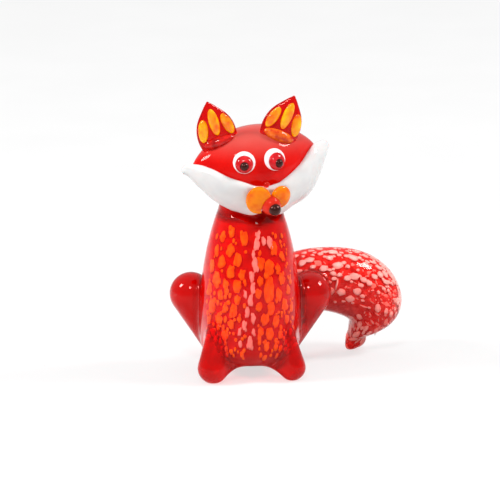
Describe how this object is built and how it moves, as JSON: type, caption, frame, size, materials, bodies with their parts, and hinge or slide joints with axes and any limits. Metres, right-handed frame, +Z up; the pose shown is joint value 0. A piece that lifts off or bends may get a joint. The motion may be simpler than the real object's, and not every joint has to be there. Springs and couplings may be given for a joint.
{
  "type": "fox figurine",
  "caption": "Small sitting fox of solid red glass with white cheeks, amber ears and a curled tail, its pieces melted together, standing on its paws, feet and tail tip.",
  "frame": {"origin": "middle of the underside of the whole fox's box, at the height of the table", "axes": "+Z up, -Y the way the torso faces, +X the fox's left, the side its tail swings to"},
  "size_m": [0.053, 0.0388, 0.0654],
  "materials": {
    "core_red": "gloss",
    "clear_red": "gloss",
    "chip_orange": "gloss",
    "chip_white": "gloss",
    "head_red": "gloss",
    "white_glass": "gloss",
    "amber": "gloss",
    "amber_red": "gloss",
    "black_glass": "gloss"
  },
  "bodies": {
    "root": {"torso_core": "core_red", "chest_frit_orange": "chip_orange", "chest_frit_white": "chip_white", "torso_casing": "clear_red", "neck_collar": "clear_red", "front_paw_left": "clear_red", "front_paw_right": "clear_red", "haunch_left": "clear_red", "haunch_right": "clear_red", "tail_core": "core_red", "tail_frit_white": "chip_white", "tail_casing": "clear_red", "head": "head_red", "cheek_left": "white_glass", "cheek_right": "white_glass", "muzzle_pad_left": "amber", "muzzle_pad_right": "amber", "snout": "clear_red", "nose": "black_glass", "snout_bead": "clear_red", "eye_white_left": "white_glass", "eye_white_right": "white_glass", "iris_left": "clear_red", "iris_right": "clear_red", "pupil_left": "black_glass", "pupil_right": "black_glass", "ear_left": "clear_red", "ear_right": "clear_red", "ear_petals_left": "amber", "ear_petals_right": "amber", "ear_root_left": "amber_red", "ear_root_right": "amber_red"}
  },
  "joints": []
}
